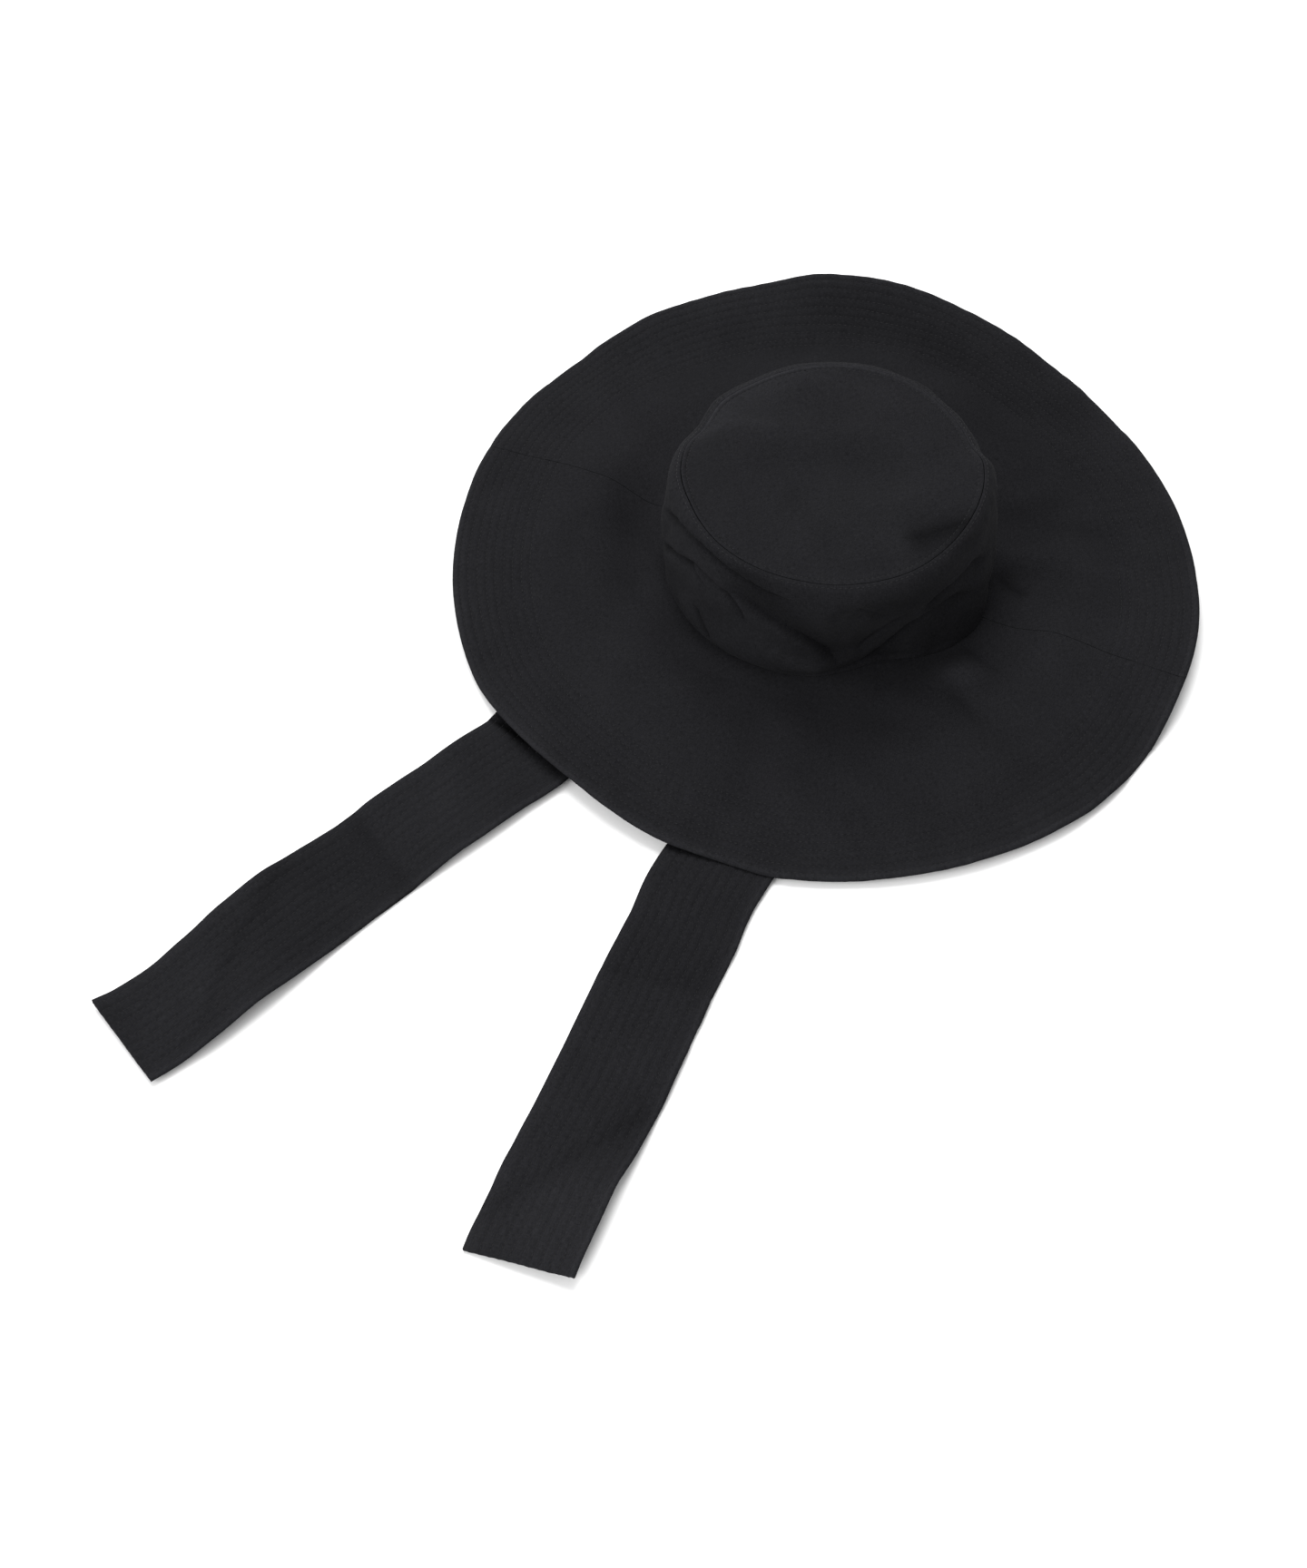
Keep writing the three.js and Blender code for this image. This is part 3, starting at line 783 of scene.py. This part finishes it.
def thicken(piece):
    """Gives a surface the cloth's thickness to both sides, with rounded edges."""
    solid = piece.modifiers.new("thickness", "SOLIDIFY")
    solid.thickness = CLOTH * MM
    solid.offset = 0
    rounded = piece.modifiers.new("rounded edges", "BEVEL")
    rounded.limit_method = "ANGLE"
    rounded.angle_limit = math.radians(SHARP)
    rounded.width = EDGE_ROUND * MM
    rounded.segments = ROUND_STEPS
    apply_modifiers(piece)
    bpy.ops.object.shade_smooth()


def place_piece(piece, material):
    """Gives a finished piece its cloth or thread."""
    piece.data.materials.clear()
    piece.data.materials.append(material)
    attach(piece, "root")


def brim_half(name, start, end):
    """One half of the brim, from side seam to side seam, with more faces in its stitched band."""
    piece, u, v = new_grid(name, *BRIM_GRID)
    run = 1 - v
    angle = start + (end - start) * u
    reach = around(BRIM, "reach", angle)
    inner = head_seam(angle) - SEAM_MARGIN
    rings = [0, BAND_STARTS_AT, ROLL_STARTS_AT, 1]
    radius = through(rings, [inner, reach - BAND - BAND_MARGIN, reach - ROLL_WIDTH, reach], run)
    inset = np.degrees(GAP / 2 / radius)
    angle = start + inset + (end - start - 2 * inset) * u
    points = brim_surface(angle, radius)
    move_vertices(piece, points)
    x, y = points[:, 0], points[:, 1]
    lay_weave(piece, x, y)
    # The brim's painted light and shade: a painted highlight along its hem, painted shade in its rows
    # and creases, and painted patches.
    from_edge = around(BRIM, "reach", angle) - radius
    painted_shading = hem_painted_shading(from_edge, from_edge, BRIM_ROWS) + creases_at(BRIM_CREASES, x, y)[1]
    lay_painted_shading(piece, painted_shading + forms_at(BRIM_PAINTED_PATCHES, x, y))
    thicken(piece)
    return piece


def crown_side():
    """The crown's side, as a ring from the head seam up to the top's seam."""
    piece, u, v = new_grid("crown_wall", *SIDE_GRID)
    angle = SIDE_STARTS_AT + 360 * u + FINER_IN_FRONT * np.sin(math.tau * u)
    move_vertices(piece, side_at(angle, v))
    lay_weave(piece, math.radians(HEAD[1]) * angle, v * SIDE_HEIGHT)
    # The side's painted light and shade: painted shade in its creases, painted patches and a painted
    # highlight along its edge.
    lay_painted_shading(piece, side_painted_shading(angle, v))
    close_ring(piece)
    thicken(piece)
    return piece


def crown_top():
    """The crown's top: a square grid pressed out into a disc, so it has no pole."""
    piece, u, v = new_grid("crown_top", *TOP_GRID)
    x, y = 2 * u - 1, 2 * v - 1
    x = (1 - FINER_AT_SEAM) * x + FINER_AT_SEAM * np.sin(math.pi / 2 * x)
    y = (1 - FINER_AT_SEAM) * y + FINER_AT_SEAM * np.sin(math.pi / 2 * y)
    disc_x = x * np.sqrt(1 - y**2 / 2)
    disc_y = y * np.sqrt(1 - x**2 / 2)
    out = np.minimum(np.hypot(disc_x, disc_y), 1)
    angle = np.degrees(np.arctan2(disc_y, disc_x))
    points = top_surface(angle, out)
    move_vertices(piece, points)
    x, y = points[:, 0], points[:, 1]
    lay_weave(piece, x, y)
    # The top's painted light and shade: painted shade and highlight in its creases, painted patches
    # and a painted highlight along its edge.
    painted_shading = creases_at(TOP_CREASES, x, y)[1] + forms_at(TOP_PAINTED_PATCHES, x, y)
    lay_painted_shading(piece, painted_shading + rim_painted_highlight(angle, (1 - out) * TOP[1]))
    thicken(piece)
    return piece


def tie(name, route, creases, patches, uneven):
    """A tie from its sewn end to its hem."""
    piece, u, v = new_grid(name, *TIE_GRID)
    place, side = tie_length(route) * u, 1 - 2 * v
    move_vertices(piece, tie_surface(route, creases, uneven, place, side))
    across = side * TIE_WIDTH / 2
    lay_weave(piece, place, across)
    # The tie's painted light and shade: a painted highlight along its hems, painted shade in its rows
    # and creases, a painted shadow under the brim's edge, and painted patches.
    painted_shading = hem_painted_shading(TIE_WIDTH / 2 - abs(across), across, TIE_ROWS)
    lay_painted_shading(piece, painted_shading + creases_at(creases, place, across)[1] + forms_at(patches, place, across))
    thicken(piece)
    return piece


# Stitches

NUDGE = 1e-3  # a step on a surface, small enough to tell its slope
FROM_SIDE_SEAM = 0.4  # degrees between a brim row's ends and the side seams
FROM_SEWN_END, FROM_HEM = 4, 1  # distances between a tie row's ends and the tie's
ROUND_CROWN = 359.5  # degrees from the first stitch of a row round the crown to its last, at most


def stitches(name, surface, rows):
    """A piece of thread stitches that lie on a surface. Rows are pairs of arrays: the surface's
    own two coordinates of every stitch."""
    u = np.concatenate([row[0] for row in rows])
    v = np.concatenate([row[1] for row in rows])
    centre = surface(u, v)
    ahead = surface(u + NUDGE, v) - centre
    aside = surface(u, v + NUDGE) - centre
    normal = np.cross(ahead, aside)
    ahead, normal = (way / np.linalg.norm(way, axis=-1, keepdims=True) for way in (ahead, normal))
    normal *= np.where(normal[:, 2:] < 0, -1, 1)
    aside = np.cross(normal, ahead)

    bpy.ops.object.select_all(action="DESELECT")
    bpy.ops.mesh.primitive_ico_sphere_add(subdivisions=1, radius=0.5)
    piece = bpy.context.object
    piece.name = name
    piece.data.name = name
    one = np.array([vertex.co for vertex in piece.data.vertices])
    copies = piece.modifiers.new("one for each stitch", "ARRAY")
    copies.count = len(u)
    copies.use_relative_offset = False
    copies.use_constant_offset = True
    apply_modifiers(piece)
    local = one * [STITCH["length"], STITCH["width"], STITCH["height"]]
    base = (centre + normal * (CLOTH / 2 + STITCH["lift"]))[:, None]
    points = base + sum(
        way[:, None] * local[None, :, k : k + 1] for k, way in enumerate((ahead, aside, normal))
    )
    move_vertices(piece, points.reshape(-1, 3))
    take(piece)
    bpy.ops.object.shade_smooth()
    return piece


def brim_stitches(name, start, end):
    """The rows of stitches in one half of the brim."""
    rows = []
    for row in BRIM_ROWS:
        step = math.degrees(STITCH["pitch"] / (USUAL_REACH - row))
        angle = np.arange(start + FROM_SIDE_SEAM, end - FROM_SIDE_SEAM, step)
        rows.append((angle, around(BRIM, "reach", angle) - row))
    return stitches(name, brim_surface, rows)


def tie_stitches(name, route, creases, uneven):
    """The rows of stitches in a tie."""
    place = np.arange(FROM_SEWN_END, tie_length(route) - FROM_HEM, STITCH["pitch"])
    rows = [(place, np.full_like(place, row * 2 / TIE_WIDTH)) for row in TIE_ROWS]
    return stitches(name, lambda u, v: tie_surface(route, creases, uneven, u, v), rows)


def seam_stitches(name, surface, length):
    """The row of stitches beside the seam of the crown's top, on a cloth of some length."""
    angle = np.arange(0, ROUND_CROWN, math.degrees(STITCH["pitch"] / TOP[0]))
    return stitches(name, surface, [(angle, np.full_like(angle, 1 - SEAM_ROW / length))])


# Materials

CLOTH_BLACK = (0.0102, 0.0102, 0.0114)
CLOTH_LOOK = {
    "Roughness": 0.9,
    "Specular IOR Level": 0.02,
    "Sheen Weight": 0.008,
    "Sheen Roughness": 0.4,
}
THREAD_LOOK = {
    "Base Color": (0.006, 0.006, 0.007, 1),
    "Roughness": 0.6,
    "Specular IOR Level": 0.2,
}
FLOOR_LOOK = {
    "Base Color": (0.9, 0.9, 0.9, 1),
    "Roughness": 1.0,
    "Specular IOR Level": 0.0,
}

# How often the noise repeats in a metre of cloth, along and across
WEFT, WARP, FADED = (320, 2100, 1), (2100, 320, 1), (30, 30, 1)
PLAIN, RAGGED = 1, 3  # how much fine detail it has
NOISE_MIDDLE = 0.5
THREAD_TONE = 0.9  # how strongly the threads vary in tone
FADING = 0.35  # and the faded patches
THREAD_BUMP = {"Strength": 0.6, "Distance": 0.0002}


def set_inputs(node, look):
    """Sets some of a node's sockets by name."""
    for name, value in look.items():
        node.inputs[name].default_value = value


def new_material(name, look):
    """A material whose shader has the values of a look."""
    material = bpy.data.materials.new(name)
    material.use_nodes = True
    set_inputs(material.node_tree.nodes["Principled BSDF"], look)
    return material


def streaks(nodes, links, uv, stretch, detail):
    """Noise from 0 to 1 that may be drawn out along one way of the weave."""
    mapping = nodes.new("ShaderNodeMapping")
    set_inputs(mapping, {"Scale": stretch})
    links.new(uv, mapping.inputs["Vector"])
    noise = nodes.new("ShaderNodeTexNoise")
    set_inputs(noise, {"Scale": 1, "Detail": detail})
    links.new(mapping.outputs["Vector"], noise.inputs["Vector"])
    return noise.outputs["Fac"]


def combine(nodes, links, operation, first, second):
    """The outcome of adding, subtracting or multiplying two sockets or numbers."""
    node = nodes.new("ShaderNodeMath")
    node.operation = operation
    for socket, value in zip(node.inputs, (first, second)):
        if isinstance(value, (int, float)):
            socket.default_value = value
        else:
            links.new(value, socket)
    return node.outputs["Value"]


def black_cloth():
    """Plain-woven black cotton: uneven threads both ways, a little wear in broad patches, and light
    and shade painted in from its vertices.
    """
    material = new_material("black cotton", CLOTH_LOOK)
    nodes, links = material.node_tree.nodes, material.node_tree.links
    shader = nodes["Principled BSDF"]
    uv = nodes.new("ShaderNodeUVMap").outputs["UV"]
    weft = streaks(nodes, links, uv, WEFT, PLAIN)
    warp = streaks(nodes, links, uv, WARP, PLAIN)
    patches = streaks(nodes, links, uv, FADED, RAGGED)
    threads = combine(nodes, links, "ADD", weft, warp)
    tone = combine(nodes, links, "MULTIPLY", threads, THREAD_TONE)
    tone = combine(nodes, links, "ADD", tone, -THREAD_TONE)
    fading = combine(nodes, links, "SUBTRACT", patches, NOISE_MIDDLE)
    fading = combine(nodes, links, "MULTIPLY", fading, FADING)
    even = combine(nodes, links, "ADD", combine(nodes, links, "ADD", tone, fading), 1.0)
    # The vertices' painted light and shade scale the black: painted shade in creases, rows and under
    # the brim's edge, painted highlights along edges, and painted patches.
    painted_shading = nodes.new("ShaderNodeAttribute")
    painted_shading.attribute_name = "painted_shading"
    painted_shading_factor = combine(nodes, links, "ADD", painted_shading.outputs["Fac"], 1.0)
    share = combine(nodes, links, "MULTIPLY", even, painted_shading_factor)
    colour = nodes.new("ShaderNodeVectorMath")
    colour.operation = "SCALE"
    colour.inputs[0].default_value = CLOTH_BLACK
    links.new(share, colour.inputs["Scale"])
    links.new(colour.outputs["Vector"], shader.inputs["Base Color"])
    bump = nodes.new("ShaderNodeBump")
    set_inputs(bump, THREAD_BUMP)
    links.new(threads, bump.inputs["Height"])
    links.new(bump.outputs["Normal"], shader.inputs["Normal"])
    return material


# Stage

# In metres and degrees
FLOOR_WIDTH = 60  # so wide that its edge is out of sight from any side
FLOOR_LEVEL = -0.0004  # just under the hat
ROOM_STRENGTH = 0.68
WINDOW = {"azimuth": 120, "elevation": 55, "strength": 2.85}
REFLECTOR = {"azimuth": 240, "elevation": 30, "strength": 2.6}
SOFTBOX_WIDTH = 45  # how wide a softbox is, seen from the hat
CAMERA_AZIMUTH, CAMERA_ELEVATION, CAMERA_DISTANCE = -66, 54, 2.0
CAMERA_TARGET = Vector((-0.0294, -0.1798, 0))
LENS, SENSOR_HEIGHT = 83.33, 36  # millimetres


def make_floor():
    """A pale floor out to where it can't be seen."""
    bpy.ops.object.select_all(action="DESELECT")
    bpy.ops.mesh.primitive_plane_add(size=FLOOR_WIDTH, location=(0, 0, FLOOR_LEVEL))
    floor = bpy.context.object
    floor.name = "floor"
    floor.data.materials.append(new_material("pale floor", FLOOR_LOOK))


def make_light():
    """An even, pale room with a window and a reflector."""
    world = bpy.data.worlds.new("studio")
    bpy.context.scene.world = world
    world.use_nodes = True
    background = world.node_tree.nodes["Background"]
    set_inputs(background, {"Color": (1, 1, 1, 1), "Strength": ROOM_STRENGTH})
    add_softbox("window", **WINDOW)
    add_softbox("reflector", **REFLECTOR)


def towards(azimuth, elevation):
    """The direction from the hat at an angle from +X towards +Y and an angle above the floor."""
    round_hat, above_floor = math.radians(azimuth), math.radians(elevation)
    return Vector((
        math.cos(round_hat) * math.cos(above_floor),
        math.sin(round_hat) * math.cos(above_floor),
        math.sin(above_floor),
    ))


def add_softbox(name, azimuth, elevation, strength):
    """A wide, soft light that comes from one direction."""
    bpy.ops.object.light_add(type="SUN")
    light = bpy.context.object
    light.name = name
    light.rotation_mode = "QUATERNION"
    light.rotation_quaternion = towards(azimuth, elevation).to_track_quat("Z", "Y")
    light.data.energy = strength
    light.data.angle = math.radians(SOFTBOX_WIDTH)


def make_camera():
    """A camera that looks down on the hat from its front right."""
    back = towards(CAMERA_AZIMUTH, CAMERA_ELEVATION)
    bpy.ops.object.camera_add(location=CAMERA_TARGET + back * CAMERA_DISTANCE)
    camera = bpy.context.object
    camera.rotation_mode = "QUATERNION"
    camera.rotation_quaternion = (-back).to_track_quat("-Z", "Y")
    camera.data.sensor_fit = "VERTICAL"
    camera.data.sensor_height = SENSOR_HEIGHT
    camera.data.lens = LENS
    bpy.context.scene.camera = camera


cloth, thread = black_cloth(), new_material("black thread", THREAD_LOOK)
front = brim_half("front_brim", SEAM_LEFT, SEAM_RIGHT + 360)
back = brim_half("back_brim", SEAM_RIGHT, SEAM_LEFT)
side = crown_side()
top = crown_top()
left = tie("left_tie", TIE_LEFT, TIE_LEFT_CREASES, TIE_LEFT_PAINTED_PATCHES, TIE_LEFT_UNEVEN)
right = tie("right_tie", TIE_RIGHT, TIE_RIGHT_CREASES, TIE_RIGHT_PAINTED_PATCHES, TIE_RIGHT_UNEVEN)
for piece, node, slot in (
    (front, "brim_front", "brim_cloth"),
    (back, "brim_back", "brim_cloth"),
    (side, "crown_side", "crown_cloth"),
    (top, "crown_tip", "crown_cloth"),
    (left, "tie_left", "tie_cloth"),
    (right, "tie_right", "tie_cloth"),
):
    place_piece(piece, cloth)
    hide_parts(node)

front_rows = brim_stitches("front_brim_stitching", SEAM_LEFT, SEAM_RIGHT + 360)
back_rows = brim_stitches("back_brim_stitching", SEAM_RIGHT, SEAM_LEFT)
side_row = seam_stitches("side_stitching", side_at, SIDE_HEIGHT)
top_row = seam_stitches("top_stitching", top_surface, TOP[1])
left_rows = tie_stitches("left_tie_stitching", TIE_LEFT, TIE_LEFT_CREASES, TIE_LEFT_UNEVEN)
right_rows = tie_stitches("right_tie_stitching", TIE_RIGHT, TIE_RIGHT_CREASES, TIE_RIGHT_UNEVEN)
for piece, slot in (
    (front_rows, "brim_cloth"),
    (back_rows, "brim_cloth"),
    (side_row, "crown_cloth"),
    (top_row, "crown_cloth"),
    (left_rows, "tie_cloth"),
    (right_rows, "tie_cloth"),
):
    place_piece(piece, thread)

make_floor()
make_light()
make_camera()
bpy.context.scene.view_settings.view_transform = "Standard"
